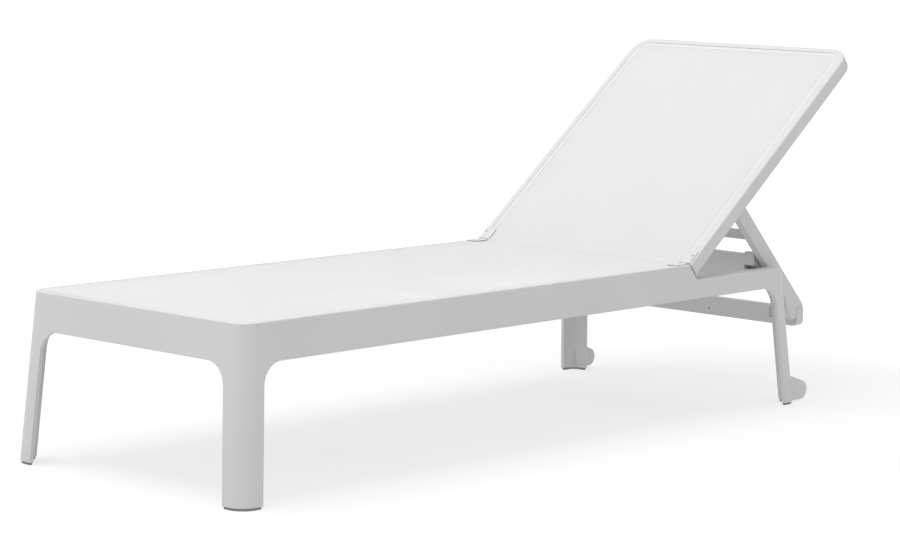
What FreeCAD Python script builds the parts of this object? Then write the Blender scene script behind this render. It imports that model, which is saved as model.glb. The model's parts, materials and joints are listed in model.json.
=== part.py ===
import FreeCAD, Part
import math
import os
import re
import Sketcher

# Reclining sun lounger. Lengths in millimetres, angles in degrees.
# While it is drawn, X runs from the foot end to the head end and starts at the top edge of the foot
# end, Y = 0 is the middle plane, and Z = 0 is the floor. At the end everything is moved along X so
# that the origin stands under the middle of the whole lounger.
SIZES = {
    # moulded seat frame
    "frame_length": 1668,
    "frame_width": 620,
    "seat_height": 346,
    "rail_depth": 76,
    "side_draft": 3.85,
    "head_draft": 5.7,
    "foot_corner_round": 38,
    "head_corner_round": 25,
    "window_round": 46,
    "front_leg_width": 54,
    "rear_leg_width": 44,
    "rear_leg_length": 45,
    "leg_inner_round": 32,
    "shell_wall": 9,
    "top_plate": 14,
    "top_edge_round": 3,
    "step_edge_round": 5,
    "seat_rim": 6,
    "back_rim": 16,
    "end_rim": 3,
    "ledge_width": 34,
    "opening_round": 8,
    "skirt_wall": 4,
    "skirt_depth": 38,
    "rear_rail_width": 29,
    "rail_step": 34,
    # feet and the skids behind the rear legs
    "foot_height": 5,
    "foot_inset": 2.5,
    "skid_reach": 66,
    "skid_centre_height": 26,
    "skid_radius": 21,
    "skid_root_height": 66,
    "skid_root_start": 12,
    "skid_lean": 20,
    "skid_thickness": 11,
    "skid_inset": -11,
    # sling, its edge rods and their grooves
    "sling_rebate": 2,
    "sling_thickness": 1.4,
    "sling_gap": 0.3,
    "rod_diameter": 4.8,
    "rod_clearance": 0.2,
    # cross braces under the seat
    "brace_spacing": 430,
    "brace_width": 36,
    "brace_height": 20,
    "brace_wall": 3,
    "brace_end_gap": 4,
    "boss_overlap": 2,
    "screw_radius": 2.5,
    "screw_head_radius": 5,
    "screw_head_height": 3,
    "screw_length": 16,
    # back frame
    "rear_length": 344,
    "hinge_line": "=frame_length - rear_length",
    "back_angle": 38,
    "back_length": 732,
    "back_width": 624,
    "back_thickness": 33,
    "back_round": 50,
    "back_edge_round": 4,
    "back_member_width": 35,
    "back_gap": 1,
    "back_wall": 5,
    "back_plate": 12,
    "skirt_overlap": 2,
    # hinge
    "pivot_depth": 32.5,
    "hinge_pin_radius": 5,
    "hinge_pin_head_radius": 8,
    "hinge_pin_head_height": 3,
    "hinge_pin_grip": 20,
    "bush_wall": 1.5,
    "running_clearance": 0.05,
    "lug_radius": 10,
    "lug_thickness": 14,
    "lug_root_length": 60,
    "pin_end_gap": 0.5,
    "side_play": 0.3,
    "hinge_washer": 3,
    "cover_thickness": 2,
    "cover_length": 42,
    "cover_width": 30,
    "cap_length": 37,
    "cover_inset": 4,
    "cap_screw_reach": 26,
    "cap_screw_inset": 10.5,
    # prop and its seats on the head crossbar
    "prop_reach": 236.5,
    "prop_pin_depth": 24,
    "prop_pin_radius": 4,
    "prop_pin_grip": 22,
    "prop_pin_head_radius": 7.5,
    "prop_pin_head_height": 3,
    "prop_spacer_radius": 9,
    "prop_boss_half_length": 20,
    "arm_outer_half": 270,
    "arm_thickness": 17,
    "arm_fore_half": 15.3,
    "arm_rear_half": 18.5,
    "arm_end_radius": 16.5,
    "arm_neck": 40,
    "arm_length": 386,
    "heel_round": 11,
    "gusset_start": 308,
    "gusset_shoulder": 346,
    "gusset_end": 378,
    "gusset_depth": 32,
    "upper_bar_reach": 129.5,
    "upper_bar_thickness": 5,
    "upper_bar_depth": 25,
    "handle_reach": 393,
    "handle_offset": -8.8,
    "handle_height": 42,
    "handle_depth": 24,
    "handle_half_length": 271,
    "handle_end_round": 13,
    "handle_recess_inner": 193,
    "handle_recess_outer": 250,
    "handle_recess_height": 22,
    "handle_recess_depth": 18,
    "handle_recess_lift": 4.5,
    "handle_hole_radius": 2.2,
    "handle_hole_depth": 3,
    "handle_hole_offset": 17,
    "handle_hole_drop": 6,
    "peg_beyond": 0.41,
    "peg_below": 22.71,
    "prop_run": "=rear_length + peg_beyond - prop_reach * cos(back_angle) - prop_pin_depth * sin(back_angle)",
    "prop_drop": "=peg_below + prop_reach * sin(back_angle) - prop_pin_depth * cos(back_angle)",
    "prop_slope": "=atan(prop_drop / prop_run) / 1 deg",
    "peg_reach": "=prop_drop / sin(prop_slope)",
    "peg_length": 28,
    "peg_width": 15,
    "peg_height": 19,
    "crossbar_width": 30,
    "crossbar_drop": 11,
    "crossbar_top": "=seat_height - crossbar_drop",
    "crossbar_lug_height": 7,
    "crossbar_lug_top": "=crossbar_top + crossbar_lug_height",
    "crossbar_lug_depth": 14,
    "lug_recess_drop": 32,
    "lug_recess_floor": "=crossbar_top - lug_recess_drop",
    "lug_recess_height": 9,
    "lug_recess_depth": 18,
    "slot_depth": 49,
    "slot_floor": "=crossbar_top - slot_depth",
    "slot_inner_half": 248,
    "seat_clearance": 0.8,
    "peg_seat_lead": 3,
    "peg_seat_slope": 24.2,
    # how far a cut or an overlap runs past the surface that it starts from
    "cut_run": 60,
    "overlap": 1,
}

document = FreeCAD.newDocument("sun_lounger")
sheet = document.addObject("Spreadsheet::Sheet", "sizes")
for row, (alias, number) in enumerate(SIZES.items(), start=1):
    sheet.set(f"A{row}", alias)
    sheet.set(f"B{row}", str(number))
    sheet.setAlias(f"B{row}", alias)
document.recompute()

ORIGIN_POINT = (-1, 1)
AXIS_OF_PLANE = {"XY_Plane": ("x", "y"), "XZ_Plane": ("x", "z"), "YZ_Plane": ("y", "z")}
pieces = []


# ---- sketches and features bound to the sheet ----

def formula(text):
    """Put the sheet's name before each alias of a size formula."""
    return re.sub(r"[a-z_]+", lambda word: f"sizes.{word[0]}" if word[0] in SIZES else word[0], text)


def value(text):
    """The number that a size formula gives."""
    return float(sheet.evalExpression(formula(text)))


def new_piece(label):
    """A body of its own, which is exported under its label."""
    body = document.addObject("PartDesign::Body", label)
    body.Label = label
    body.AllowCompound = True
    pieces.append(body)
    return body


def flat_sketch(body, name, plane, height):
    """A sketch parallel to one of the body's origin planes, a formula's height along its normal."""
    sketch = body.newObject("Sketcher::SketchObject", name)
    support = next(feature for feature in body.Origin.OriginFeatures if feature.Role == plane)
    sketch.AttachmentSupport = [(support, "")]
    sketch.MapMode = "FlatFace"
    sketch.setExpression("AttachmentOffset.Base.z", formula(height))
    return sketch


def pin_point(sketch, geometry, corner, name, across, up):
    """Hold one point of a sketch at two formulas' distances from the sketch's origin."""
    for direction, distance in (("DistanceX", across), ("DistanceY", up)):
        held = Sketcher.Constraint(direction, *ORIGIN_POINT, geometry, corner, value(distance))
        index = sketch.addConstraint(held)
        sketch.renameConstraint(index, f"{name}_{direction}")
        sketch.setExpression(f"Constraints.{name}_{direction}", formula(distance))


def draw_outline(sketch, corners):
    """A closed outline of straight lines through corners given as pairs of formulas."""
    points = [FreeCAD.Vector(value(across), value(up), 0) for across, up in corners]
    first = sketch.GeometryCount
    for here, there in zip(points, points[1:] + points[:1]):
        sketch.addGeometry(Part.LineSegment(here, there), False)
    for step, (across, up) in enumerate(corners):
        before = first + (step - 1) % len(corners)
        sketch.addConstraint(Sketcher.Constraint("Coincident", before, 2, first + step, 1))
        pin_point(sketch, first + step, 1, f"corner_{first + step}", across, up)


def draw_rounded_rectangle(sketch, limits, radii):
    """A rectangle whose corners, from low x and low y round, have radii or, where None, are sharp."""
    low_x, high_x, low_y, high_y = limits
    corners = [FreeCAD.Vector(value(across), value(up), 0) for across, up in rectangle(*limits)]
    reach = [value(radius) if radius else 0 for radius in radii]
    along = [FreeCAD.Vector(*step) for step in ((1, 0, 0), (0, 1, 0), (-1, 0, 0), (0, -1, 0))]
    first = sketch.GeometryCount
    for number in range(4):
        following = (number + 1) % 4
        start = corners[number] + along[number] * reach[number]
        end = corners[following] - along[number] * reach[following]
        sketch.addGeometry(Part.LineSegment(start, end), False)
    held_lines = (("Horizontal", "DistanceY", low_y), ("Vertical", "DistanceX", high_x),
                  ("Horizontal", "DistanceY", high_y), ("Vertical", "DistanceX", low_x))
    for number, (lie, direction, distance) in enumerate(held_lines):
        line = first + number
        sketch.addConstraint(Sketcher.Constraint(lie, line))
        held = Sketcher.Constraint(direction, *ORIGIN_POINT, line, 1, value(distance))
        name = f"side_{line}"
        sketch.renameConstraint(sketch.addConstraint(held), name)
        sketch.setExpression(f"Constraints.{name}", formula(distance))
    for number, radius in enumerate(radii):
        before, after = first + (number - 1) % 4, first + number
        if not radius:
            sketch.addConstraint(Sketcher.Constraint("Coincident", before, 2, after, 1))
            continue
        middle = corners[number] + (along[number] - along[number - 1]) * reach[number]
        circle = Part.Circle(middle, FreeCAD.Vector(0, 0, 1), reach[number])
        turn = math.pi * (1 + number / 2)
        arc = sketch.addGeometry(Part.ArcOfCircle(circle, turn, turn + math.pi / 2), False)
        sketch.addConstraint(Sketcher.Constraint("Tangent", before, 2, arc, 1))
        sketch.addConstraint(Sketcher.Constraint("Tangent", arc, 2, after, 1))
        index = sketch.addConstraint(Sketcher.Constraint("Radius", arc, reach[number]))
        sketch.renameConstraint(index, f"round_{arc}")
        sketch.setExpression(f"Constraints.round_{arc}", formula(radius))


def draw_circle(sketch, centre, radius):
    """A circle round a centre given as a pair of formulas."""
    middle = FreeCAD.Vector(value(centre[0]), value(centre[1]), 0)
    index = sketch.addGeometry(Part.Circle(middle, FreeCAD.Vector(0, 0, 1), value(radius)), False)
    pin_point(sketch, index, 3, f"centre_{index}", *centre)
    held = sketch.addConstraint(Sketcher.Constraint("Radius", index, value(radius)))
    sketch.renameConstraint(held, f"radius_{index}")
    sketch.setExpression(f"Constraints.radius_{index}", formula(radius))


def sketch_height(plane, low, high, cut):
    """Where a sketch stands so that its pad or pocket spans low to high along the third axis."""
    if plane == "XZ_Plane":
        return f"-({low})" if cut else f"-({high})"
    return high if cut else low


def extrude(body, name, plane, low, high, corners=(), circle=None, rounded=(), cut=False):
    """Pad or pocket what is drawn between two formulas along the plane's normal.

    It draws an outline through corners, a circle, or rounded rectangles given as limits and radii.
    """
    before = volume(body)
    sketch = flat_sketch(body, f"{name}_outline", plane, sketch_height(plane, low, high, cut))
    if corners:
        draw_outline(sketch, corners)
    for limits, radii in rounded:
        draw_rounded_rectangle(sketch, limits, radii)
    if circle:
        draw_circle(sketch, *circle)
    feature = body.newObject("PartDesign::Pocket" if cut else "PartDesign::Pad", name)
    feature.Profile = sketch
    feature.setExpression("Length", formula(f"({high}) - ({low})"))
    document.recompute()
    changed = volume(body) < before if cut else volume(body) > before
    if not changed:
        raise ValueError(f"{name} changes nothing on {body.Label}")


def drafted_block(body, name, stations, cut=False):
    """A block with plane leaning sides between two rectangles, given as height and x, y limits."""
    before = volume(body)
    block_type = "PartDesign::SubtractiveWedge" if cut else "PartDesign::AdditiveWedge"
    wedge = body.newObject(block_type, name)
    support = next(feature for feature in body.Origin.OriginFeatures if feature.Role == "XZ_Plane")
    wedge.AttachmentSupport = [(support, "")]
    wedge.MapMode = "FlatFace"
    for (height, limits), tags in zip(stations, (("Ymin", "Xmin", "Xmax", "Zmin", "Zmax"),
                                                 ("Ymax", "X2min", "X2max", "Z2min", "Z2max"))):
        for tag, text in zip(tags, (height, *limits)):
            setattr(wedge, tag, value(text))
            wedge.setExpression(tag, formula(text))
    document.recompute()
    changed = volume(body) < before if cut else volume(body) > before
    if not changed:
        raise ValueError(f"{name} changes nothing on {body.Label}")


def round_edges(body, name, radius, chosen):
    """Fillet the edges of the body's last feature that the test picks out."""
    base = body.Tip
    names = [f"Edge{index}" for index, edge in enumerate(base.Shape.Edges, start=1) if chosen(edge)]
    if not names:
        raise ValueError(f"{name} finds no edge on {body.Label}")
    feature = body.newObject("PartDesign::Fillet", name)
    feature.Base = (base, names)
    feature.setExpression("Radius", formula(radius))
    document.recompute()


def volume(body):
    """The volume so far of a body, which is nothing before its first feature."""
    return body.Tip.Shape.Volume if body.Tip and body.Tip.TypeId != "Sketcher::SketchObject" else 0


def rectangle(low_x, high_x, low_y, high_y):
    """The four corners of a rectangle, as formulas."""
    return [(low_x, low_y), (high_x, low_y), (high_x, high_y), (low_x, high_y)]


def turned(centre, offset, angle):
    """A corner offset from a centre, turned by an angle in the sketch's plane."""
    (across, up), (along, over) = centre, offset
    return (f"{across} + ({along}) * cos({angle}) - ({over}) * sin({angle})",
            f"{up} + ({along}) * sin({angle}) + ({over}) * cos({angle})")


def side_name(side):
    return "left" if side > 0 else "right"


def mirrored(side, inner, outer):
    """Low and high limits along Y of a piece between two distances from the middle plane."""
    return (inner, outer) if side > 0 else (f"-({outer})", f"-({inner})")


def near(number, target, margin=0.6):
    return abs(number - target) < margin


# ---- lines of the frame that several pieces share ----

HALF = "frame_width / 2"
RAIL_BOTTOM = "(seat_height - rail_depth)"
STEP_TOP = "(seat_height - rail_step)"
HOLLOW_TOP = "(seat_height - rail_step - top_plate)"
REAR_INNER_HALF = f"({HALF} - rear_rail_width)"
OPENING_HALF = f"({HALF} - seat_rim - ledge_width)"
RIM_HALF = f"({HALF} - seat_rim)"
SEAT_LIMITS = ("seat_rim", "hinge_line - end_rim", f"-{RIM_HALF}", RIM_HALF)
SEAT_OPENING = ("seat_rim + ledge_width", "hinge_line - end_rim - ledge_width")
SEAT_SLING_ROUND = "foot_corner_round - seat_rim"
GROOVE_WIDTH = "(rod_diameter + 2 * rod_clearance)"
GROOVE_DEPTH = "(sling_rebate + rod_diameter + 2 * rod_clearance)"
PIVOT_X = "(hinge_line + pivot_depth * tan(back_angle / 2))"
PIVOT_Z = "(seat_height - pivot_depth)"
NOTCH_END = "(hinge_line + 2 * pivot_depth * tan(back_angle / 2))"
CROSSBAR_FRONT = "(frame_length - crossbar_width)"
PEG_SEAT_INNER = "(arm_outer_half - arm_thickness - peg_length - peg_seat_lead)"
LUG_OUTER = f"({REAR_INNER_HALF} - hinge_washer)"
LUG_INNER = f"({LUG_OUTER} - lug_thickness)"
BACK_INNER_HALF = "(back_width / 2 - back_member_width)"
ARM_INNER = "(arm_outer_half - arm_thickness)"


def drafted(height, inset):
    """The frame's outer limits in x and y at a height, moved inwards by an inset."""
    fall = f"(seat_height - ({height}))"
    half = f"({HALF} + {fall} * tan(side_draft) - ({inset}))"
    return (f"-{fall} * tan(side_draft) + ({inset})",
            f"frame_length + {fall} * tan(head_draft) - ({inset})", f"-{half}", half)


# ---- seat frame ----

def make_seat_frame():
    body = new_piece("seat_frame")
    drafted_block(body, "outer_form", [("foot_height", drafted("foot_height", "0")),
                                       ("seat_height", drafted("seat_height", "0"))])
    hollow_frame(body)
    for end in ("foot", "head"):
        round_edges(body, f"{end}_outer_corners", f"{end}_corner_round", leaning_edge(end, "seat_height"))
    hollow_seat(body)
    cut_windows(body)
    open_top(body)
    add_rear_step(body)
    add_crossbar(body)
    add_skids(body)
    add_brace_bosses(body)
    add_hinge_bores(body)
    return body


def leaning_edge(end, height):
    """A test for one end's leaning corner edges that run from the feet up to a height."""
    top = value(height)
    bottom = value("foot_height")
    middle = value("frame_length / 2")
    return lambda edge: (near(edge.BoundBox.ZMax, top) and near(edge.BoundBox.ZMin, bottom) and
                         (edge.CenterOfMass.x < middle) == (end == "foot"))


def hollow_frame(body):
    """The hollow between the legs, up to the underside of the lowered rear rails."""
    drafted_block(body, "leg_hollow", [("foot_height", drafted("foot_height", "shell_wall")),
                                       (HOLLOW_TOP, drafted(HOLLOW_TOP, "shell_wall"))], cut=True)
    for end in ("foot", "head"):
        round_edges(body, f"{end}_inner_corners", "leg_inner_round", leaning_edge(end, HOLLOW_TOP))


def hollow_seat(body):
    """The upper part of the hollow, under the seat only."""
    limits = ("shell_wall", "hinge_line - end_rim - shell_wall", f"-({HALF} - shell_wall)",
              f"{HALF} - shell_wall")
    radii = foot_radii("foot_corner_round - shell_wall")
    extrude(body, "seat_hollow", "XY_Plane", HOLLOW_TOP, "seat_height - top_plate",
            rounded=[(limits, radii)], cut=True)


def cut_windows(body):
    under = "-cut_run"
    edge_x = {}
    for height in (under, RAIL_BOTTOM):
        limits = drafted(height, "0")
        edge_x[height] = (f"{limits[0]} + front_leg_width", f"{limits[1]} - rear_leg_length")
    corners = [(edge_x[under][0], under), (edge_x[under][1], under),
               (edge_x[RAIL_BOTTOM][1], RAIL_BOTTOM), (edge_x[RAIL_BOTTOM][0], RAIL_BOTTOM)]
    extrude(body, "side_windows", "XZ_Plane", "-frame_width", "frame_width", corners, cut=True)
    for end, low, high, width in (("foot", "-cut_run", "frame_length / 2", "front_leg_width"),
                                  ("head", "frame_length / 2", "frame_length + cut_run", "rear_leg_width")):
        corners = []
        for height, order in ((under, (-1, 1)), (RAIL_BOTTOM, (1, -1))):
            half = f"({drafted(height, '0')[3]} - {width})"
            corners += [(f"{sign} * {half}", height) for sign in order]
        extrude(body, f"{end}_window", "YZ_Plane", low, high, corners, cut=True)
    top = value(RAIL_BOTTOM)
    round_edges(body, "window_corners", "window_round",
                lambda edge: near(edge.BoundBox.ZMin, top) and near(edge.BoundBox.ZMax, top) and
                edge.Length < value("shell_wall") + 3 and edge.Curve.TypeId == "Part::GeomLine")


def foot_radii(radius):
    """Corner radii of a rectangle that is rounded only at its low x end."""
    return (radius, None, None, radius)


def head_radii(radius):
    """Corner radii of a rectangle that is rounded only at its high x end."""
    return (None, radius, radius, None)


def grown(limits, margin):
    """Rectangle limits moved outwards by a margin."""
    low_x, high_x, low_y, high_y = limits
    return (f"{low_x} - ({margin})", f"{high_x} + ({margin})",
            f"{low_y} - ({margin})", f"{high_y} + ({margin})")


def open_top(body):
    opening = (*SEAT_OPENING, f"-{OPENING_HALF}", OPENING_HALF)
    extrude(body, "seat_opening", "XY_Plane", RAIL_BOTTOM, "seat_height + cut_run",
            rounded=[(opening, foot_radii("opening_round"))], cut=True)
    extrude(body, "rear_opening", "XY_Plane", "0", "seat_height + cut_run",
            rectangle("hinge_line", CROSSBAR_FRONT, f"-{REAR_INNER_HALF}", REAR_INNER_HALF), cut=True)
    extrude(body, "skirt", "XY_Plane", "seat_height - skirt_depth", "seat_height - sling_rebate",
            rounded=[(grown(opening, "skirt_wall"), foot_radii("opening_round + skirt_wall")),
                     (opening, foot_radii("opening_round"))])
    add_groove(body, SEAT_LIMITS, "seat_height", foot_radii, SEAT_SLING_ROUND)
    top = value("seat_height")
    limit = value("hinge_line")
    round_edges(body, "top_edge", "top_edge_round",
                lambda edge: near(edge.BoundBox.ZMin, top) and near(edge.BoundBox.ZMax, top) and
                outer_edge(edge) and edge.BoundBox.XMin < limit)


def outer_edge(edge):
    """True for an edge on the outline of the frame seen from above."""
    middle = edge.valueAt((edge.FirstParameter + edge.LastParameter) / 2)
    inset = value("seat_rim") - 1
    return (abs(middle.y) > value(HALF) - inset or middle.x < inset or
            middle.x > value("frame_length") - inset)


def add_groove(body, limits, top, radii, radius):
    """The shallow rebate that the sling lies in and the groove round it for the edge rods."""
    extrude(body, "sling_rebate_cut", "XY_Plane", f"{top} - sling_rebate", f"{top} + cut_run",
            rounded=[(limits, radii(radius))], cut=True)
    inside = grown(limits, f"-{GROOVE_WIDTH}")
    extrude(body, "rod_groove", "XY_Plane", f"{top} - {GROOVE_DEPTH}", f"{top} - sling_rebate",
            rounded=[(limits, radii(radius)), (inside, radii(f"{radius} - {GROOVE_WIDTH}"))], cut=True)


def add_rear_step(body):
    corners = [("hinge_line", "seat_height"), (NOTCH_END, STEP_TOP), ("frame_length + cut_run", STEP_TOP),
               ("frame_length + cut_run", "seat_height + cut_run"), ("hinge_line", "seat_height + cut_run")]
    extrude(body, "rear_step", "XZ_Plane", "-frame_width", "frame_width", corners, cut=True)
    top = value(STEP_TOP)
    round_edges(body, "step_edge", "step_edge_round",
                lambda edge: near(edge.BoundBox.ZMin, top) and near(edge.BoundBox.ZMax, top) and
                outer_edge(edge))
    for side in (-1, 1):
        low, high = mirrored(side, REAR_INNER_HALF, f"({REAR_INNER_HALF} + skirt_wall)")
        extrude(body, f"rear_skirt_{side_name(side)}", "XY_Plane", RAIL_BOTTOM, f"{STEP_TOP} - top_plate / 2",
                rectangle("hinge_line", "frame_length - shell_wall", low, high))


def add_crossbar(body):
    """The bar between the rear legs, with a slot for each arm of the prop and a seat for each peg."""
    extrude(body, "crossbar", "XY_Plane", RAIL_BOTTOM, "crossbar_top",
            rectangle(CROSSBAR_FRONT, "frame_length", f"-{REAR_INNER_HALF}", REAR_INNER_HALF))
    peg_x, peg_z = prop_point("peg_reach", "0")
    floor = f"({peg_z} - peg_height / 2 - seat_clearance)"
    front = f"({peg_x} - peg_width / 2 - seat_clearance)"
    rear = f"({peg_x} + peg_width / 2)"
    far = "(frame_length + cut_run)"
    for side in (-1, 1):
        name = side_name(side)
        low, high = mirrored(side, "slot_inner_half", REAR_INNER_HALF)
        extrude(body, f"arm_slot_{name}", "XY_Plane", "slot_floor", "crossbar_top + cut_run",
                rectangle(f"{CROSSBAR_FRONT} - overlap", far, low, high), cut=True)
        low, high = mirrored(side, PEG_SEAT_INNER, "slot_inner_half")
        extrude(body, f"crossbar_lug_{name}", "XY_Plane", "crossbar_top - overlap", "crossbar_lug_top",
                rectangle(CROSSBAR_FRONT, f"{CROSSBAR_FRONT} + crossbar_lug_depth", low, high))
        extrude(body, f"lug_recess_{name}", "XY_Plane", "lug_recess_floor",
                "lug_recess_floor + lug_recess_height",
                rectangle(f"{CROSSBAR_FRONT} - overlap", f"{CROSSBAR_FRONT} + lug_recess_depth", low, high),
                cut=True)
        corners = [(front, "crossbar_top + cut_run"), (front, floor), (rear, floor),
                   (far, f"{floor} - ({far} - {rear}) * tan(peg_seat_slope)"),
                   (far, "crossbar_top + cut_run")]
        extrude(body, f"peg_seat_{name}", "XZ_Plane", low, high, corners, cut=True)


def add_skids(body):
    centre = ("frame_length + skid_reach", "skid_centre_height")
    root = "frame_length + skid_root_start"
    corners = [(root, "foot_height"), (centre[0], "skid_centre_height - skid_radius"),
               (f"{centre[0]} + skid_radius * sin(skid_lean)",
                "skid_centre_height + skid_radius * cos(skid_lean)"),
               (root, "skid_root_height")]
    for side in (-1, 1):
        low, high = mirrored(side, f"{HALF} - skid_inset - skid_thickness", f"{HALF} - skid_inset")
        name = f"skid_{side_name(side)}"
        extrude(body, f"{name}_root", "XZ_Plane", low, high, corners)
        extrude(body, f"{name}_end", "XZ_Plane", low, high, circle=(centre, "skid_radius"))


BRACE_PLACES = [f"(hinge_line / 2 + {place} * brace_spacing / 2)" for place in (-1, 1)]
BRACE_TOP = "(seat_height - skirt_depth)"
SCREW_HALF = f"({OPENING_HALF} + ledge_width / 2)"


def add_brace_bosses(body):
    for number, centre in enumerate(BRACE_PLACES, start=1):
        for side in (-1, 1):
            low, high = mirrored(side, OPENING_HALF, f"({HALF} - shell_wall + boss_overlap)")
            name = f"brace_boss_{number}_{side_name(side)}"
            extrude(body, name, "XY_Plane", BRACE_TOP, "seat_height - top_plate + boss_overlap",
                    rectangle(f"{centre} - brace_width / 2", f"{centre} + brace_width / 2", low, high))
            hole = (centre, f"{side} * {SCREW_HALF}")
            extrude(body, f"{name}_hole", "XY_Plane", BRACE_TOP, f"{BRACE_TOP} + screw_length",
                    circle=(hole, "screw_radius"), cut=True)


def add_hinge_bores(body):
    for side in (-1, 1):
        low, high = mirrored(side, REAR_INNER_HALF, f"({REAR_INNER_HALF} + hinge_pin_grip)")
        extrude(body, f"hinge_bore_{side_name(side)}", "XZ_Plane", low, high,
                circle=((PIVOT_X, PIVOT_Z), "hinge_pin_radius"), cut=True)


# ---- feet, seat sling, rods and braces ----

def make_feet():
    """Pads under the angled legs, a little smaller than the legs all round."""
    front_x, rear_x, _, half = drafted("foot_height", "0")
    for end, sign_x, corner_x, length, width, corner_round in (
            ("front", 1, front_x, "front_leg_width", "front_leg_width", "foot_corner_round"),
            ("rear", -1, rear_x, "rear_leg_length", "rear_leg_width", "head_corner_round")):
        for side in (-1, 1):
            body = new_piece(f"foot_{end}_{side_name(side)}")
            outer = (f"{corner_x} + {sign_x} * foot_inset", f"{side} * ({half} - foot_inset)")
            inner = (f"{corner_x} + {sign_x} * (shell_wall - foot_inset / 2)",
                     f"{side} * ({half} - shell_wall + foot_inset / 2)")
            far_x = f"{corner_x} + {sign_x} * ({length} - foot_inset)"
            far_y = f"{side} * ({half} - {width} + foot_inset)"
            corners = [outer, (far_x, outer[1]), (far_x, inner[1]), inner,
                       (inner[0], far_y), (outer[0], far_y)]
            extrude(body, "pad", "XY_Plane", "0", "foot_height", corners)
            round_edges(body, "outer_corner", f"{corner_round} - foot_inset", upright_at(*map(value, outer)))
            round_edges(body, "inner_corner", f"{corner_round} - shell_wall + foot_inset / 2",
                        upright_at(*map(value, inner)))


def upright_at(x, y):
    """A test for the upright edge at a place."""
    return lambda edge: (near(edge.CenterOfMass.x, x) and near(edge.CenterOfMass.y, y) and
                         edge.BoundBox.ZLength > 1)


def make_sling(label, limits, top, radii, radius):
    """A stretched sling as one flat solid that lies in its rebate."""
    body = new_piece(label)
    extrude(body, "cloth", "XY_Plane", f"{top} - sling_rebate", f"{top} - sling_rebate + sling_thickness",
            rounded=[(grown(limits, "-sling_gap"), radii(f"{radius} - sling_gap"))])
    return body


def make_rods(prefix, limits, top, end_names, corner_rounds):
    """The four rods sewn into a sling's edges, one in each straight side of the groove."""
    low_x, high_x, low_y, high_y = limits
    middle = f"{GROOVE_WIDTH} / 2"
    height = f"{top} - sling_rebate - rod_clearance - rod_diameter / 2"
    low_end, high_end = (f"({corner_round})" for corner_round in corner_rounds)
    made = []
    for name, place in (("left", f"{high_y} - {middle}"), ("right", f"{low_y} + {middle}")):
        body = new_piece(f"{prefix}_rod_{name}")
        extrude(body, "rod", "YZ_Plane", f"{low_x} + {low_end}", f"{high_x} - {high_end}",
                circle=((place, height), "rod_diameter / 2"))
        made.append(body)
    for name, place, inset in zip(end_names, (f"{low_x} + {middle}", f"{high_x} - {middle}"),
                                  (low_end, high_end)):
        body = new_piece(f"{prefix}_rod_{name}")
        extrude(body, "rod", "XZ_Plane", f"{low_y} + {inset}", f"{high_y} - {inset}",
                circle=((place, height), "rod_diameter / 2"))
        made.append(body)
    return made


def make_braces():
    reach = f"({HALF} - shell_wall - brace_end_gap)"
    for number, centre in enumerate(BRACE_PLACES, start=1):
        body = new_piece(f"seat_brace_{number}")
        low, high = f"{BRACE_TOP} - brace_height", BRACE_TOP
        extrude(body, "channel", "XY_Plane", low, high,
                rectangle(f"{centre} - brace_width / 2", f"{centre} + brace_width / 2", f"-{reach}", reach))
        extrude(body, "hollow", "XY_Plane", low, f"{high} - brace_wall",
                rectangle(f"{centre} - brace_width / 2 + brace_wall",
                          f"{centre} + brace_width / 2 - brace_wall", f"-{reach}", reach), cut=True)
        for side in (-1, 1):
            extrude(body, f"hole_{side_name(side)}", "XY_Plane", f"{high} - brace_wall", high,
                    circle=((centre, f"{side} * {SCREW_HALF}"), "screw_radius + rod_clearance"), cut=True)
    screws = new_piece("brace_screws")
    for number, centre in enumerate(BRACE_PLACES, start=1):
        for side in (-1, 1):
            place = (centre, f"{side} * {SCREW_HALF}")
            under = f"{BRACE_TOP} - brace_wall"
            name = f"screw_{number}_{side_name(side)}"
            extrude(screws, f"{name}_shank", "XY_Plane", f"{under} - overlap / 2",
                    f"{BRACE_TOP} + screw_length - overlap", circle=(place, "screw_radius"))
            extrude(screws, f"{name}_head", "XY_Plane", f"{under} - screw_head_height", under,
                    circle=(place, "screw_head_radius"))


def make_hinge_covers():
    """Small plates on the seat frame over the ends of the sling beside the hinge."""
    for side in (-1, 1):
        body = new_piece(f"hinge_cover_{side_name(side)}")
        outer = f"{side} * ({HALF} - cover_inset)"
        inner = f"{side} * ({HALF} - cover_inset - cover_width)"
        corners = rectangle("hinge_line - cover_length", "hinge_line - cover_inset / 2", outer, inner)
        extrude(body, "plate", "XY_Plane", "seat_height", "seat_height + cover_thickness", corners)
        round_edges(body, "inner_corner", "cover_width / 3",
                    upright_at(value("hinge_line - cover_length"), value(inner)))


def make_hinge_pins():
    for side in (-1, 1):
        body = new_piece(f"hinge_pin_{side_name(side)}")
        inner = f"({LUG_INNER} - pin_end_gap)"
        low, high = mirrored(side, inner, f"({REAR_INNER_HALF} + hinge_pin_grip)")
        extrude(body, "shank", "XZ_Plane", low, high, circle=((PIVOT_X, PIVOT_Z), "hinge_pin_radius"))
        low, high = mirrored(side, f"({inner} - hinge_pin_head_height)", inner)
        extrude(body, "head", "XZ_Plane", low, high, circle=((PIVOT_X, PIVOT_Z), "hinge_pin_head_radius"))
        washer = new_piece(f"hinge_washer_{side_name(side)}")
        low, high = mirrored(side, f"({LUG_OUTER} + side_play)", REAR_INNER_HALF)
        extrude(washer, "ring", "XZ_Plane", low, high, circle=((PIVOT_X, PIVOT_Z), "lug_radius - overlap"))
        extrude(washer, "bore", "XZ_Plane", low, high,
                circle=((PIVOT_X, PIVOT_Z), "hinge_pin_radius + running_clearance"), cut=True)


# ---- back: drawn lying flat with X up the slope from the hinge line and Z = 0 on its front face ----

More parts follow.
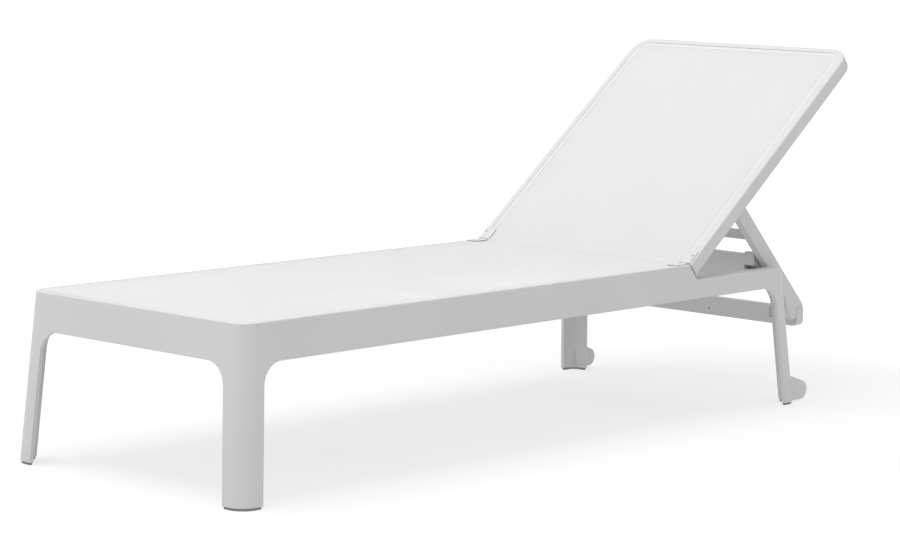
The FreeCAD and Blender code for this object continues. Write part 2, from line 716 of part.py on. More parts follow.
BACK_LIMITS = ("back_gap + end_rim", "back_length - back_rim",
               "-(back_width / 2 - back_rim)", "back_width / 2 - back_rim")
BACK_SLING_ROUND = "back_round - back_rim"
BACK_PIVOT = ("-pivot_depth * tan(back_angle / 2)", "-pivot_depth")
BACK_ROOT = "(skirt_overlap - back_plate)"


def make_back_frame():
    body = new_piece("back_frame")
    half = "back_width / 2"
    extrude(body, "outer_form", "XY_Plane", "-back_thickness", "0",
            rectangle("back_gap", "back_length", f"-{half}", half))
    extrude(body, "hollow", "XY_Plane", "-back_thickness", "-back_plate",
            rectangle("back_gap + back_wall", "back_length - back_wall", f"-({half} - back_wall)",
                      f"{half} - back_wall"), cut=True)
    for name, inset, radius in (("hollow_corners", "back_wall", "back_round - back_wall"),
                                ("head_corners", "0", "back_round")):
        for side in (-1, 1):
            corner = (value(f"back_length - {inset}"), value(f"{side} * ({half} - {inset})"))
            round_edges(body, f"{name}_{side_name(side)}", radius, upright_at(*corner))
    bottom, top, gap = value("-back_thickness"), 0, value("back_gap")
    for name, level in (("lower_outline", bottom), ("upper_outline", top)):
        round_edges(body, name, "back_edge_round", outline_edge(level, gap, value(f"{half} - back_wall")))
    opening = ("back_member_width", "back_length - back_member_width", f"-{BACK_INNER_HALF}", BACK_INNER_HALF)
    radii = head_radii("back_round - back_member_width")
    extrude(body, "opening", "XY_Plane", "-back_thickness", "cut_run", rounded=[(opening, radii)], cut=True)
    skirt_radii = head_radii("back_round - back_member_width + skirt_wall")
    extrude(body, "skirt", "XY_Plane", "-back_thickness + overlap", BACK_ROOT,
            rounded=[(grown(opening, "skirt_wall"), skirt_radii), (opening, radii)])
    add_groove(body, BACK_LIMITS, "0", head_radii, BACK_SLING_ROUND)
    add_prop_bosses(body)
    add_hinge_lugs(body)
    return body


def outline_edge(level, foot, inner_half):
    """A test for the outer edges of the back at one level, apart from its square foot."""
    far = value("back_length - back_wall")

    def chosen(edge):
        middle = edge.valueAt((edge.FirstParameter + edge.LastParameter) / 2)
        outer = abs(middle.y) > inner_half + 0.5 or middle.x > far + 0.5
        curved = edge.Curve.TypeId == "Part::GeomCircle"
        if curved:
            outer = edge.Curve.Radius > value("back_round") - 0.5
        return near(edge.BoundBox.ZMin, level) and near(edge.BoundBox.ZMax, level) and outer and (
            not near(edge.CenterOfMass.x, foot))
    return chosen


def add_prop_bosses(body):
    for side in (-1, 1):
        low, high = mirrored(side, BACK_INNER_HALF, "(back_width / 2 - back_wall + overlap)")
        corners = rectangle("prop_reach - prop_boss_half_length", "prop_reach + prop_boss_half_length",
                            "-back_thickness", BACK_ROOT)
        extrude(body, f"prop_boss_{side_name(side)}", "XZ_Plane", low, high, corners)
        low, high = mirrored(side, BACK_INNER_HALF, f"({BACK_INNER_HALF} + prop_pin_grip)")
        extrude(body, f"prop_bore_{side_name(side)}", "XZ_Plane", low, high,
                circle=(("prop_reach", "-prop_pin_depth"), "prop_pin_radius"), cut=True)


def add_hinge_lugs(body):
    """Ears under the foot of the back that turn on the hinge pins."""
    across, down = BACK_PIVOT
    foot = "(back_gap + overlap)"
    for side in (-1, 1):
        low, high = mirrored(side, LUG_INNER, LUG_OUTER)
        name = f"hinge_lug_{side_name(side)}"
        corners = [(across, f"{down} - lug_radius"), ("lug_root_length", "-back_thickness + overlap"),
                   ("lug_root_length", BACK_ROOT), (foot, BACK_ROOT),
                   (foot, f"{down} + lug_radius - overlap"), (across, f"{down} + lug_radius")]
        extrude(body, name, "XZ_Plane", low, high, corners)
        extrude(body, f"{name}_end", "XZ_Plane", low, high, circle=(BACK_PIVOT, "lug_radius"))
        extrude(body, f"{name}_bore", "XZ_Plane", low, high,
                circle=(BACK_PIVOT, "hinge_pin_radius + bush_wall + running_clearance"), cut=True)


def make_hinge_bushes():
    made = []
    for side in (-1, 1):
        body = new_piece(f"hinge_bush_{side_name(side)}")
        low, high = mirrored(side, LUG_INNER, LUG_OUTER)
        extrude(body, "sleeve", "XZ_Plane", low, high,
                circle=(BACK_PIVOT, "hinge_pin_radius + bush_wall + running_clearance"))
        extrude(body, "bore", "XZ_Plane", low, high,
                circle=(BACK_PIVOT, "hinge_pin_radius + running_clearance"), cut=True)
        made.append(body)
    return made


def make_hinge_caps():
    """Small plates on the front of the back over the lower ends of its sling."""
    made = []
    screws = new_piece("hinge_cap_screws")
    start = "(back_gap + cover_inset / 2)"
    for side in (-1, 1):
        body = new_piece(f"hinge_cap_{side_name(side)}")
        outer = f"{side} * (back_width / 2 - cover_inset)"
        inner = f"{side} * (back_width / 2 - cover_inset - cover_width)"
        extrude(body, "plate", "XY_Plane", "0", "cover_thickness",
                rectangle(start, f"{start} + cap_length", outer, inner))
        round_edges(body, "inner_corner", "cover_width / 3",
                    upright_at(value(f"{start} + cap_length"), value(inner)))
        place = ("cap_screw_reach", f"{side} * (back_width / 2 - cap_screw_inset)")
        extrude(body, "screw_hole", "XY_Plane", "0", "cover_thickness",
                circle=(place, "screw_radius + rod_clearance"), cut=True)
        extrude(screws, f"screw_{side_name(side)}", "XY_Plane", "0", "cover_thickness / 2",
                circle=(place, "screw_radius"))
        made.append(body)
    return made + [screws]


def make_prop_pins():
    made = []
    centre = ("prop_reach", "-prop_pin_depth")
    for side in (-1, 1):
        pin = new_piece(f"prop_pin_{side_name(side)}")
        seat = f"({ARM_INNER} - pin_end_gap)"
        low, high = mirrored(side, seat, f"({BACK_INNER_HALF} + prop_pin_grip)")
        extrude(pin, "shank", "XZ_Plane", low, high, circle=(centre, "prop_pin_radius"))
        low, high = mirrored(side, f"({seat} - prop_pin_head_height)", seat)
        extrude(pin, "head", "XZ_Plane", low, high, circle=(centre, "prop_pin_head_radius"))
        spacer = new_piece(f"prop_spacer_{side_name(side)}")
        low, high = mirrored(side, "(arm_outer_half + side_play)", BACK_INNER_HALF)
        extrude(spacer, "ring", "XZ_Plane", low, high, circle=(centre, "prop_spacer_radius"))
        extrude(spacer, "bore", "XZ_Plane", low, high,
                circle=(centre, "prop_pin_radius + running_clearance"), cut=True)
        made += [pin, spacer]
    return made


# ---- prop: drawn with X down along its arms from the pins ----

def prop_point(along, over):
    """A point of the prop, as formulas for where it rests in the whole lounger."""
    pin_x, pin_z = turned(("hinge_line", "seat_height"), ("prop_reach", "-prop_pin_depth"), "back_angle")
    return turned((f"({pin_x})", f"({pin_z})"), (along, over), "-prop_slope")


def block(centre, length, height):
    """An upright rectangle in the rest pose, in the prop's own slanting axes."""
    offsets = ((-1, -1), (1, -1), (1, 1), (-1, 1))
    return [turned(centre, (f"{across} * {length} / 2", f"{up} * {height} / 2"), "prop_slope")
            for across, up in offsets]


HANDLE = ("handle_reach", "handle_offset")


def make_prop():
    body = new_piece("prop_frame")
    for side in (-1, 1):
        add_arm(body, side)
    bar_low = "upper_bar_reach - upper_bar_thickness / 2"
    bar_high = "upper_bar_reach + upper_bar_thickness / 2"
    extrude(body, "upper_bar", "XZ_Plane", f"-({ARM_INNER} + overlap)", f"{ARM_INNER} + overlap",
            rectangle(bar_low, bar_high, "arm_rear_half - upper_bar_depth", "arm_rear_half"))
    add_handle(body)
    return body


def add_arm(body, side):
    """One arm with its eye, its peg, and the gusset that carries the handle."""
    low, high = mirrored(side, ARM_INNER, "arm_outer_half")
    name = f"arm_{side_name(side)}"
    fore, rear = "-arm_fore_half", "arm_rear_half"
    corners = [("0", "-arm_end_radius"), ("arm_neck", fore), ("arm_length", fore), ("arm_length", rear),
               ("arm_neck", rear), ("0", "arm_end_radius")]
    extrude(body, name, "XZ_Plane", low, high, corners)
    extrude(body, f"{name}_eye", "XZ_Plane", low, high, circle=(("0", "0"), "arm_end_radius"))
    extrude(body, f"{name}_bore", "XZ_Plane", low, high,
            circle=(("0", "0"), "prop_pin_radius + running_clearance"), cut=True)
    heel = (value("arm_length"), value(rear), value(f"({low} + {high}) / 2"))
    round_edges(body, f"{name}_heel", "heel_round", crosswise_at(*heel))
    inside = f"{fore} + overlap"
    extrude(body, f"{name}_gusset", "XZ_Plane", low, high,
            [("gusset_start", inside), ("gusset_shoulder", "-gusset_depth"),
             ("gusset_end", "-gusset_depth"), ("arm_length - overlap", inside)])
    low, high = mirrored(side, f"({ARM_INNER} - peg_length)", f"({ARM_INNER} + overlap)")
    extrude(body, f"peg_{side_name(side)}", "XZ_Plane", low, high,
            block(("peg_reach", "0"), "peg_width", "peg_height"))


def add_handle(body):
    """The wide bar at the foot of the prop, hollowed beside each arm."""
    outline = block(HANDLE, "handle_depth", "handle_height")
    extrude(body, "handle", "XZ_Plane", "-handle_half_length", "handle_half_length", outline)
    lower_middle = turned(HANDLE, ("0", "-handle_height / 2"), "prop_slope")
    for side in (-1, 1):
        place = (value(lower_middle[0]), value(lower_middle[1]), value(f"{side} * handle_half_length"))
        round_edges(body, f"handle_end_{side_name(side)}", "handle_end_round", endwise_at(*place))
    recess = turned(HANDLE, ("-(handle_depth - handle_recess_depth) / 2 - overlap", "handle_recess_lift"),
                    "prop_slope")
    for side in (-1, 1):
        low, high = mirrored(side, "handle_recess_inner", "handle_recess_outer")
        extrude(body, f"handle_recess_{side_name(side)}", "XZ_Plane", low, high,
                block(recess, "handle_recess_depth + 2 * overlap", "handle_recess_height"), cut=True)
    drill_handle(body, turned(HANDLE, ("-handle_depth / 2 - overlap", "-handle_hole_drop"), "prop_slope"))


def drill_handle(body, start):
    """The small hole in the handle's front face."""
    before = volume(body)
    drill = body.newObject("PartDesign::SubtractiveCylinder", "handle_hole")
    drill.setExpression("Radius", formula("handle_hole_radius"))
    drill.setExpression("Height", formula("handle_hole_depth + overlap"))
    along_face = FreeCAD.Rotation(FreeCAD.Vector(0, 1, 0), 90 - value("prop_slope"))
    mouth = FreeCAD.Vector(value(start[0]), -value("handle_hole_offset"), value(start[1]))
    drill.Placement = FreeCAD.Placement(mouth, along_face)
    document.recompute()
    if volume(body) >= before:
        raise ValueError("the handle's hole cuts nothing")


def endwise_at(x, z, y):
    """A test for the edge across the prop's thickness at a place."""
    return lambda edge: (near(edge.CenterOfMass.x, x) and near(edge.CenterOfMass.z, z) and
                         near(edge.CenterOfMass.y, y) and edge.BoundBox.YLength < 1)


def crosswise_at(x, z, y):
    """A test for the edge along Y at a place."""
    return lambda edge: (near(edge.CenterOfMass.x, x) and near(edge.CenterOfMass.z, z) and
                         near(edge.CenterOfMass.y, y) and edge.BoundBox.YLength > 5)


def place(body, turn, base):
    """Give a body its place: turned about Y, then moved so that its own origin is at base."""
    spin = FreeCAD.Rotation(FreeCAD.Vector(0, 1, 0), turn)
    body.Placement = FreeCAD.Placement(FreeCAD.Vector(*base), spin)


def check_objects():
    """Stop if any object of the document failed or any piece has no sound shape."""
    document.recompute()
    for item in document.Objects:
        if "Invalid" in item.State or "Error" in item.State:
            raise ValueError(f"{item.Name} of {item.Label} failed")
    for piece in pieces:
        if piece.Shape.isNull() or not piece.Shape.isValid():
            raise ValueError(f"{piece.Label} has no sound shape")


def centre_on_origin():
    """Move everything along X so that the origin is under the middle of the whole lounger."""
    whole = FreeCAD.BoundBox()
    for piece in pieces:
        whole.add(piece.Shape.BoundBox)
    middle = (whole.XMin + whole.XMax) / 2
    for piece in pieces:
        base = piece.Placement.Base
        piece.Placement = FreeCAD.Placement(base - FreeCAD.Vector(middle, 0, 0), piece.Placement.Rotation)
    return middle


make_seat_frame()
make_feet()
make_sling("seat_sling", SEAT_LIMITS, "seat_height", foot_radii, SEAT_SLING_ROUND)
make_rods("seat", SEAT_LIMITS, "seat_height", ("foot", "head"), (SEAT_SLING_ROUND, GROOVE_WIDTH))
make_braces()
make_hinge_covers()
make_hinge_pins()

back_pieces = [make_back_frame(),
               make_sling("back_sling", BACK_LIMITS, "0", head_radii, BACK_SLING_ROUND)]
back_pieces += make_rods("back", BACK_LIMITS, "0", ("bottom", "top"),
                         (GROOVE_WIDTH, BACK_SLING_ROUND))
back_pieces += make_hinge_bushes() + make_hinge_caps() + make_prop_pins()
hinge_point = (value("hinge_line"), 0, value("seat_height"))
for piece in back_pieces:
    place(piece, -value("back_angle"), hinge_point)

prop = make_prop()
pin_x, pin_z = prop_point("0", "0")
place(prop, value("prop_slope"), (value(pin_x), 0, value(pin_z)))

check_objects()
shift = centre_on_origin()
check_objects()
os.makedirs("parts", exist_ok=True)
for piece in pieces:
    piece.Shape.exportStep(f"parts/{piece.Label}.step")
print("origin moved by", round(shift, 3))
print("hinge axis", round(value(PIVOT_X) - shift, 3), round(value(PIVOT_Z), 3))
print("prop axis", round(value(pin_x) - shift, 3), round(value(pin_z), 3))
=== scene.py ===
import json
import math

import bpy
from mathutils import Matrix, Vector


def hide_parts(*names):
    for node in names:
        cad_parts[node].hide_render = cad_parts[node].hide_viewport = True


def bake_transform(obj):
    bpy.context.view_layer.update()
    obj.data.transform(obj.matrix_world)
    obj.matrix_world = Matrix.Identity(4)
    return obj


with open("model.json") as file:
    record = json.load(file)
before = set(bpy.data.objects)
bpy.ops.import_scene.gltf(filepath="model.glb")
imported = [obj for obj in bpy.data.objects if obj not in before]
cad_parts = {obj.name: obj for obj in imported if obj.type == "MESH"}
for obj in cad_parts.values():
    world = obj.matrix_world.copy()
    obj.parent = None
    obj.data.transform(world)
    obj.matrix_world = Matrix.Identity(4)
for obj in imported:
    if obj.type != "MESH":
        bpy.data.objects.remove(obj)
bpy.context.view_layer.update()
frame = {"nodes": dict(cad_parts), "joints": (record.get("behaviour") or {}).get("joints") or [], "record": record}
record = frame["record"]

# ---- sizes in metres ----

WEAVE_PITCH = 0.0016
SLING_THICKNESS = 0.0008
SLING_SAG = 0.003
EDGE_DIP = 0.0001
EDGE_REACH = 0.00025
EDGE_DIP_WIDTH = 0.003
HEM_WIDTH = 0.012
HEM_LIFT = 0.0003
BEND_RADIUS = 0.04
SEAT_ROUND = 0.031
BACK_ROUND = 0.023
RESIN_EDGE = 0.002
HEM_THICKNESS = SLING_THICKNESS / 4
ROW_STEP = 0.02
BEND_STEP = 0.002

# ---- how finely the cloth is divided ----

END_STEPS = 12
HALF_COLUMNS = 24
HEM_SHARES = (0.0, 0.1, 0.25, 0.5, 0.75, 0.9, 1.0)

# ---- camera, fitted to the viewing angle: place and aim in the lounger's own frame ----

CAMERA_PLACE = Vector((-4.5206, -4.1048, 1.1249))
CAMERA_HEADING = math.radians(42.6)
CAMERA_DIP = math.radians(7.49)
CAMERA_ROLL = math.radians(0.905)
LENS_MM = 114.8
SENSOR_MM = 36.0


def add_camera():
    forward = Vector((math.cos(CAMERA_HEADING) * math.cos(CAMERA_DIP),
                      math.sin(CAMERA_HEADING) * math.cos(CAMERA_DIP), -math.sin(CAMERA_DIP)))
    level = Vector((math.sin(CAMERA_HEADING), -math.cos(CAMERA_HEADING), 0))
    upright = level.cross(forward)
    right = level * math.cos(CAMERA_ROLL) + upright * math.sin(CAMERA_ROLL)
    up = upright * math.cos(CAMERA_ROLL) - level * math.sin(CAMERA_ROLL)
    data = bpy.data.cameras.new("camera")
    data.lens = LENS_MM
    data.sensor_width = SENSOR_MM
    camera = bpy.data.objects.new("camera", data)
    turn = Matrix((right, up, -forward)).transposed().to_4x4()
    camera.matrix_world = Matrix.Translation(CAMERA_PLACE) @ turn
    bpy.context.scene.collection.objects.link(camera)
    bpy.context.scene.camera = camera


# ---- studio: one soft light, a backdrop that brightens upwards and a pale glowing floor, its glow dimmed near the lounger as painted shade ----

KEY_PLACE = (-2.1, 0.4, 5.9)
KEY_AIM = (0, 0, 0.3)
KEY_SIZE = (4, 3)
KEY_WATTS = 245
SKY_SPAN = (0.0, 0.7)
SKY_LEVELS = (0.50, 1.05)
FLOOR_SIZE = 60
FLOOR_GREY = 0.22
# painted shade: the floor glows at the lower level near the lounger and at the higher level farther off
FLOOR_SHADE_SPAN = (1.0, 3.0)
FLOOR_GLOW_WITH_PAINTED_SHADE = (0.69, 0.92)


def add_area_light(name, place, aim, size, power):
    data = bpy.data.lights.new(name, "AREA")
    data.shape = "RECTANGLE"
    data.size, data.size_y = size
    data.energy = power
    light = bpy.data.objects.new(name, data)
    light.location = place
    light.rotation_euler = (Vector(aim) - Vector(place)).to_track_quat("-Z", "Y").to_euler()
    bpy.context.scene.collection.objects.link(light)


def graded(tree, source, span, levels, target):
    """Links a source into a target socket, with a span of the source moved on to two levels."""
    made = tree.nodes.new("ShaderNodeMapRange")
    for name, number in zip(("From Min", "From Max", "To Min", "To Max"), (*span, *levels)):
        made.inputs[name].default_value = number
    tree.links.new(source, made.inputs["Value"])
    tree.links.new(made.outputs["Result"], target)


def add_backdrop():
    world = bpy.data.worlds.new("studio")
    world.use_nodes = True
    tree = world.node_tree
    direction = tree.nodes.new("ShaderNodeTexCoord").outputs["Generated"]
    split = tree.nodes.new("ShaderNodeSeparateXYZ")
    tree.links.new(direction, split.inputs["Vector"])
    backdrop = tree.nodes["Background"]
    backdrop.inputs["Color"].default_value = (1, 1, 1, 1)
    graded(tree, split.outputs["Z"], SKY_SPAN, SKY_LEVELS, backdrop.inputs["Strength"])
    bpy.context.scene.world = world


def add_floor():
    """A plain floor that glows, and more so away from the lounger: the weaker glow close to it is painted shade.
    """
    bpy.ops.mesh.primitive_plane_add(size=FLOOR_SIZE, location=(0, 0, 0))
    floor = bpy.context.object
    floor.name = "floor"
    material = bpy.data.materials.new("floor")
    material.use_nodes = True
    tree = material.node_tree
    shader = tree.nodes["Principled BSDF"]
    shader.inputs["Base Color"].default_value = (FLOOR_GREY, FLOOR_GREY, FLOOR_GREY, 1)
    shader.inputs["Roughness"].default_value = 1
    shader.inputs["Specular IOR Level"].default_value = 0
    shader.inputs["Emission Color"].default_value = (1, 1, 1, 1)
    middle = tree.nodes.new("ShaderNodeTexCoord").outputs["Object"]
    away = tree.nodes.new("ShaderNodeVectorMath")
    away.operation = "LENGTH"
    tree.links.new(middle, away.inputs[0])
    # painted shade: the glow is weaker close to the lounger
    graded(tree, away.outputs["Value"], FLOOR_SHADE_SPAN, FLOOR_GLOW_WITH_PAINTED_SHADE, shader.inputs["Emission Strength"])
    floor.data.materials.append(material)


def add_studio():
    add_backdrop()
    bpy.context.scene.view_settings.view_transform = "Standard"
    add_area_light("key", KEY_PLACE, KEY_AIM, KEY_SIZE, KEY_WATTS)
    add_floor()


# ---- materials: every pattern is in metres, on the piece itself or along the cloth ----

CLOUD_SIZE = 0.18
FLOW_SIZE = 0.03
GRAIN_SIZE = 0.0009
STAIN_SIZE = 0.012
CLOTH_CLOUD_SIZE = 0.12
YARN_SIZE = 0.0025
METAL_LINES = 900.0
BAND_RATE = 20
HOLE_EDGE = 0.08


class Nodes:
    """The node tree of a new material."""

    def __init__(self, name):
        self.material = bpy.data.materials.new(name)
        self.material.use_nodes = True
        self.tree = self.material.node_tree
        self.shader = self.tree.nodes["Principled BSDF"]
        self.output = self.tree.nodes["Material Output"]
        coordinates = self.tree.nodes.new("ShaderNodeTexCoord")
        self.place = coordinates.outputs["Object"]
        self.cloth = coordinates.outputs["UV"]

    def add(self, kind, values=(), links=(), **settings):
        """A node with settings, socket values and links into its sockets; returns the node."""
        made = self.tree.nodes.new(kind)
        for name, setting in settings.items():
            setattr(made, name, setting)
        for socket, number in dict(values).items():
            made.inputs[socket].default_value = number
        for socket, source in dict(links).items():
            self.tree.links.new(source, made.inputs[socket])
        return made

    def noise(self, size, detail=2.0):
        """Noise from 0 to 1 with spots of about one size."""
        settings = {"Scale": 1 / size, "Detail": detail}
        return self.add("ShaderNodeTexNoise", settings, {"Vector": self.place}).outputs["Fac"]

    def ramp(self, source, low, high):
        """A source from 0 to 1 moved on to run from low to high."""
        return self.spread(source, 0.0, 1.0, low, high)

    def spread(self, source, start, end, low, high):
        """A source held between start and end, moved on to run from low to high."""
        limits = {"From Min": start, "From Max": end, "To Min": low, "To Max": high}
        return self.add("ShaderNodeMapRange", limits, {"Value": source}).outputs["Result"]

    def math(self, operation, first, second):
        """A calculation on two sockets or numbers."""
        made = self.add("ShaderNodeMath", operation=operation)
        for number, part in enumerate((first, second)):
            if isinstance(part, (int, float)):
                made.inputs[number].default_value = part
            else:
                self.tree.links.new(part, made.inputs[number])
        return made.outputs[0]

    def colors(self, factor, first, second):
        made = self.add("ShaderNodeMix", data_type="RGBA")
        self.tree.links.new(factor, made.inputs[0])
        made.inputs[6].default_value = (*first, 1)
        made.inputs[7].default_value = (*second, 1)
        return made.outputs[2]

    def bump(self, height, distance, strength, normal=None):
        links = {"Height": height}
        if normal is not None:
            links["Normal"] = normal
        made = self.add("ShaderNodeBump", {"Distance": distance, "Strength": strength}, links)
        return made.outputs["Normal"]

    def finish(self, **sockets):
        """Links sockets, or sets values, on the shader by socket name."""
        for name, source in sockets.items():
            socket = self.shader.inputs[name.replace("_", " ")]
            if isinstance(source, bpy.types.NodeSocket):
                self.tree.links.new(source, socket)
            else:
                socket.default_value = source
        return self.material


def moulded(name, shade, dirt, roughness, grain, edge):
    """Moulded plastic: fine matt grain, slow flow marks, and softened edges that are a little glossier."""
    nodes = Nodes(name)
    soft = nodes.add("ShaderNodeBevel", {"Radius": edge}, samples=6).outputs["Normal"]
    sharp = nodes.add("ShaderNodeNewGeometry").outputs["Normal"]
    dot = nodes.add("ShaderNodeVectorMath", operation="DOT_PRODUCT", links={0: soft, 1: sharp})
    worn = nodes.spread(dot.outputs["Value"], 1.0, 0.8, 0.0, 1.0)
    clouds = nodes.spread(nodes.noise(CLOUD_SIZE, 3), 0.35, 0.7, 0.0, 1.0)
    fine = nodes.noise(GRAIN_SIZE, 1)
    wave = nodes.noise(FLOW_SIZE, 2)
    color = nodes.colors(clouds, shade, dirt)
    stains = nodes.ramp(nodes.noise(STAIN_SIZE, 3), roughness - 0.06, roughness + 0.06)
    rough = nodes.math("ADD", stains, nodes.math("MULTIPLY", worn, -0.1))
    height = nodes.math("ADD", nodes.math("MULTIPLY", fine, 0.25), wave)
    normal = nodes.bump(height, grain, 0.6, soft)
    return nodes.finish(Base_Color=color, Roughness=rough, Normal=normal, IOR=1.46, Specular_IOR_Level=0.35)


def woven(name, shade, second, holes):
    """Coated mesh cloth: a plain weave of thick yarns, with a share of it open."""
    nodes = Nodes(name)
    on_cloth = {"Vector": nodes.cloth}
    bands = {"Scale": 2 * math.pi / BAND_RATE / WEAVE_PITCH, "Distortion": 0.0}
    along, across = (nodes.add("ShaderNodeTexWave", bands, on_cloth, bands_direction=direction).outputs["Fac"]
                     for direction in ("X", "Y"))
    over = nodes.add("ShaderNodeTexChecker", {"Scale": 1 / WEAVE_PITCH}, on_cloth).outputs["Fac"]
    under = nodes.math("SUBTRACT", 1.0, over)
    height = nodes.math("MAXIMUM", nodes.math("MULTIPLY", along, nodes.ramp(over, 0.75, 1.0)),
                        nodes.math("MULTIPLY", across, nodes.ramp(under, 0.75, 1.0)))
    slow = nodes.spread(nodes.noise(CLOTH_CLOUD_SIZE, 3), 0.3, 0.7, 0.0, 1.0)
    yarn = nodes.noise(YARN_SIZE, 2)
    tone = nodes.math("MULTIPLY", nodes.math("ADD", slow, yarn), 0.5)
    color = nodes.colors(tone, shade, second)
    rough = nodes.spread(height, 0.3, 1.0, 0.75, 0.5)
    normal = nodes.bump(height, 0.0004, 0.5)
    nodes.finish(Base_Color=color, Roughness=rough, Normal=normal, Specular_IOR_Level=0.3)
    if holes:
        covered = nodes.math("MAXIMUM", along, across)
        open_share = nodes.spread(covered, holes, holes + HOLE_EDGE, 1.0, 0.0)
        clear = nodes.add("ShaderNodeBsdfTransparent")
        mixed = nodes.add("ShaderNodeMixShader", {}, {0: open_share})
        nodes.tree.links.new(nodes.shader.outputs["BSDF"], mixed.inputs[1])
        nodes.tree.links.new(clear.outputs["BSDF"], mixed.inputs[2])
        nodes.tree.links.new(mixed.outputs["Shader"], nodes.output.inputs["Surface"])
    return nodes.material


def metal(name, shade, roughness, stretch):
    """Drawn or turned metal with fine lines along one direction."""
    nodes = Nodes(name)
    lines = nodes.add("ShaderNodeMapping", {"Scale": stretch}, {"Vector": nodes.place}).outputs["Vector"]
    settings = {"Scale": METAL_LINES, "Detail": 3.0}
    fine = nodes.add("ShaderNodeTexNoise", settings, {"Vector": lines}).outputs["Fac"]
    color = nodes.colors(nodes.noise(0.03), shade, tuple(part * 0.85 for part in shade))
    rough = nodes.ramp(fine, roughness - 0.1, roughness + 0.15)
    normal = nodes.bump(fine, 0.0002, 0.3)
    return nodes.finish(Base_Color=color, Metallic=1.0, Roughness=rough, Normal=normal)


MATERIALS = {
    "white_resin": moulded("white_resin", (0.535, 0.535, 0.535), (0.52, 0.52, 0.52), 0.42, 0.00012,
                           RESIN_EDGE),
    "sling_mesh": woven("sling_mesh", (0.675, 0.675, 0.675), (0.66, 0.66, 0.66), 0.42),
    # painted shade: the hem is darker than the open cloth, standing in for the shaded frame ledge seen through the
    # mesh
    "sling_hem": woven("sling_hem", (0.585, 0.585, 0.585), (0.57, 0.57, 0.57), 0),
    "foot_rubber": moulded("foot_rubber", (0.2, 0.2, 0.2), (0.24, 0.24, 0.24), 0.75, 0.0003, 0.0008),
    "steel": metal("steel", (0.55, 0.56, 0.58), 0.35, (0.1, 1, 1)),
    "nylon": moulded("nylon", (0.45, 0.45, 0.46), (0.42, 0.42, 0.43), 0.35, 0.0001, 0.0005),
    "edge_rod": moulded("edge_rod", (0.52, 0.52, 0.52), (0.49, 0.49, 0.49), 0.3, 0.0001, 0.0003),
    "brace_aluminium": moulded("brace_aluminium", (0.52, 0.52, 0.53), (0.49, 0.49, 0.50), 0.5, 0.0002,
                               0.0008),
}


def paint_nodes():
    for part in record["subparts"]:
        mesh = frame["nodes"][part["node"]].data
        mesh.materials.clear()
        mesh.materials.append(MATERIALS[part["material_slot"]])


# ---- sling: one mesh cloth from the foot end, over the hinge and up the back ----

def back_angle():
    """How far the back leans up from flat at rest."""
    hinge = next(joint for joint in frame["joints"] if joint["name"] == "back_hinge")
    return math.radians(-hinge["range_deg"][0])


def lying_limits(node, angle):
    """A node's lowest and highest corner once it is turned down by an angle about the y axis."""
    turn = Matrix.Rotation(angle, 3, "Y")
    places = [turn @ vertex.co for vertex in frame["nodes"][node].data.vertices]
    return (Vector([min(place[axis] for place in places) for axis in range(3)]),
            Vector([max(place[axis] for place in places) for axis in range(3)]))


class Path:
    """The cloth's line seen from the side: along the seat, round a bend, and up the back.

    A place on it is a distance along the cloth and across it, and a height above it.
    """

    def __init__(self):
        self.angle = back_angle()
        seat_low, seat_high = lying_limits("seat_sling", 0)
        back_low, back_high = lying_limits("back_sling", self.angle)
        up = Matrix.Rotation(-self.angle, 3, "Y")
        self.start = Vector((seat_low.x, 0, seat_high.z))
        foot = up @ Vector((back_low.x, 0, back_high.z))
        head = up @ Vector((back_high.x, 0, back_high.z))
        self.slope = (head - foot).normalized()
        reach = (self.start.z - foot.z) / self.slope.z
        corner = foot + self.slope * reach
        self.tangent = BEND_RADIUS * math.tan(self.angle / 2)
        self.flat = corner.x - self.start.x - self.tangent
        self.bend = BEND_RADIUS * self.angle
        self.rise = (head - corner).length - self.tangent
        self.length = self.flat + self.bend + self.rise
        self.corner = corner
        self.seat_half = (seat_high.y - seat_low.y) / 2 + EDGE_REACH
        self.back_half = (back_high.y - back_low.y) / 2 + EDGE_REACH

    def half(self, along):
        """Half the cloth's width at a distance along it."""
        share = min(1, max(0, (along - self.flat) / self.bend))
        half = self.seat_half + (self.back_half - self.seat_half) * share
        return half_width(along, self.length, half)

    def place(self, along, across, height):
        if along <= self.flat:
            return self.start + Vector((along, across, height))
        if along >= self.flat + self.bend:
            normal = Vector((-self.slope.z, 0, self.slope.x))
            beyond = self.tangent + along - self.flat - self.bend
            return self.corner + self.slope * beyond + normal * height + Vector((0, across, 0))
        turned = (along - self.flat) / BEND_RADIUS
        reach = BEND_RADIUS - height
        centre = self.start + Vector((self.flat, 0, BEND_RADIUS))
        return centre + Vector((reach * math.sin(turned), across, -reach * math.cos(turned)))


def half_width(along, length, half):
    """Half the width at a place along a rectangle with the cloth's rounded ends."""
    for reach, radius in ((along, SEAT_ROUND), (length - along, BACK_ROUND)):
        if reach < radius:
            return half - radius + math.sqrt(max(0.0, radius ** 2 - (radius - reach) ** 2))
    return half


def stations(path):
    """Distances along the cloth, closer together in its rounded ends and round its bend."""
    curve = [1 - math.cos(math.pi / 2 * number / END_STEPS) for number in range(END_STEPS)]
    start = [SEAT_ROUND * share for share in curve]
    stop = [path.length - BACK_ROUND * share for share in reversed(curve)]
    places = start
    bend_end = path.flat + path.bend
    for low, high, step in ((SEAT_ROUND, path.flat, ROW_STEP), (path.flat, bend_end, BEND_STEP),
                            (bend_end, path.length - BACK_ROUND, ROW_STEP)):
        count = round((high - low) / step) + 1
        places = places + [low + (high - low) * number / count for number in range(count)]
    return places + [path.length - BACK_ROUND] + stop


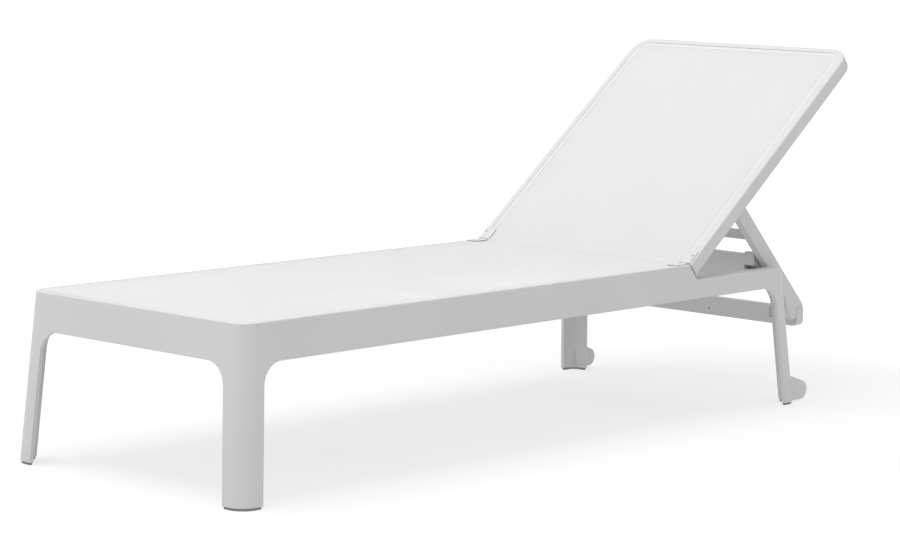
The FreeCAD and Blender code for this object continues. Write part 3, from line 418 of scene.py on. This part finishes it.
def closed_sheet(name, rows, path, thickness, material):
    """A closed sheet from rows of places on the cloth, with the weave laid out along its own length."""
    count, width = len(rows), len(rows[0])
    flat = [place for row in rows for place in row]
    points = [path.place(*place) for place in flat]
    points += [path.place(along, across, height - thickness) for along, across, height in flat]
    lower = count * width
    faces = []
    for row in range(count - 1):
        for column in range(width - 1):
            first = row * width + column
            quad = (first, first + width, first + width + 1, first + 1)
            faces += [quad, tuple(lower + corner for corner in quad[::-1])]
    ring = (list(range(width)) + [row * width + width - 1 for row in range(1, count)] +
            [(count - 1) * width + column for column in range(width - 2, -1, -1)] +
            [row * width for row in range(count - 2, 0, -1)])
    for first, following in zip(ring, ring[1:] + ring[:1]):
        faces.append((first, following, lower + following, lower + first))
    mesh = bpy.data.meshes.new(name)
    mesh.from_pydata(points, [], faces)
    layout = mesh.uv_layers.new(name="cloth")
    for loop in mesh.loops:
        layout.data[loop.index].uv = flat[loop.vertex_index % lower][:2]
    for polygon in mesh.polygons:
        polygon.use_smooth = True
    mesh.materials.append(material)
    made = bpy.data.objects.new(name, mesh)
    bpy.context.scene.collection.objects.link(made)
    return made


def cloth_rows(path):
    """Rows of places across the cloth, which dips at its edges and sags a little between the rails."""
    shares = [math.sin(math.pi / 2 * (number / HALF_COLUMNS - 1)) for number in range(2 * HALF_COLUMNS + 1)]
    rows = []
    for along in stations(path):
        half = path.half(along)
        seat, back = path.flat, path.length - path.flat
        along_span = along / seat if along < seat else (along - seat) / back
        sag = SLING_SAG * abs(math.sin(math.pi * along_span))
        row = []
        for share in shares:
            margin = min(half * (1 - abs(share)), along, path.length - along)
            dip = EDGE_DIP * (1 - min(1, margin / EDGE_DIP_WIDTH)) ** 2
            row.append((along, share * half, -dip - sag * (1 - share ** 2)))
        rows.append(row)
    return rows


def hem_rows(path):
    """Rows of places across the doubled border, going once round the cloth."""
    near_side = [(along, path.half(along)) for along in stations(path)]
    outline = near_side + [(along, -half) for along, half in reversed(near_side)]
    rows = []
    for along, across in outline + outline[:1]:
        side = 1 if across > 0 else -1
        part_half = path.back_half if along > path.flat else path.seat_half
        inner = (min(max(along, HEM_WIDTH), path.length - HEM_WIDTH),
                 side * min(abs(across), path.half(path.flat / 2) - HEM_WIDTH, part_half - HEM_WIDTH))
        row = []
        for share in HEM_SHARES:
            dip = EDGE_DIP * (1 - min(1, share * HEM_WIDTH / EDGE_DIP_WIDTH)) ** 2
            row.append((along + (inner[0] - along) * share, across + (inner[1] - across) * share,
                        HEM_LIFT * math.sin(math.pi * share) - dip))
        rows.append(row)
    return rows


def add_sling():
    path = Path()
    cloth = closed_sheet("sling", cloth_rows(path), path, SLING_THICKNESS, MATERIALS["sling_mesh"])
    hem = closed_sheet("sling_hem", hem_rows(path), path, HEM_THICKNESS, MATERIALS["sling_hem"])
    bend_start = path.place(path.flat, 0, 0)
    bend_end = path.place(path.flat + path.bend, 0, 0)
    for piece in (cloth, hem):
        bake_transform(piece)
    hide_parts("seat_sling", "back_sling")


paint_nodes()
add_sling()
add_camera()
add_studio()
